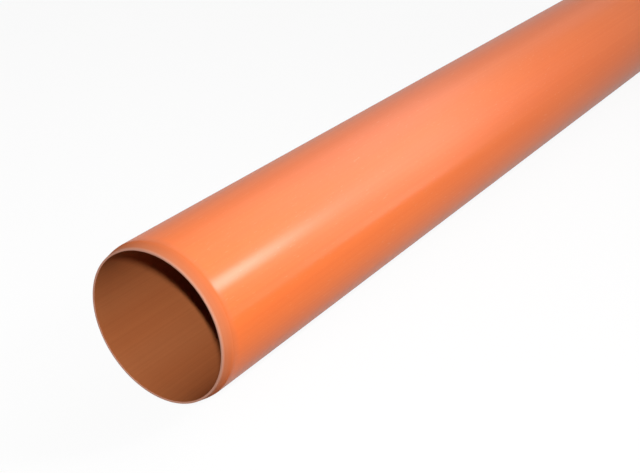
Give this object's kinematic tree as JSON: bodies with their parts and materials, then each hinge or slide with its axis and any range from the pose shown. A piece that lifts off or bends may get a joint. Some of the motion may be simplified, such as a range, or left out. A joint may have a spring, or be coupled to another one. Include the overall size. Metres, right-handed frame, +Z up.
{
  "type": "pvc pipe",
  "caption": "Straight plain-ended PVC-U drainage pipe, lying along X, with an open bore and a shallow lead-in cone on the outside of each sawn end.",
  "frame": {"origin": "on the floor, under the middle of the pipe's length: the barrel rests along its lowest line, and the pipe's axis is 55 mm above the origin", "axes": "+X along the pipe, from the end that faces the camera to the end that the picture cuts off; +Z up"},
  "size_m": [3, 0.1096, 0.11],
  "materials": {
    "pvc_u": "satin"
  },
  "bodies": {
    "root": {"pipe": "pvc_u"}
  },
  "joints": []
}
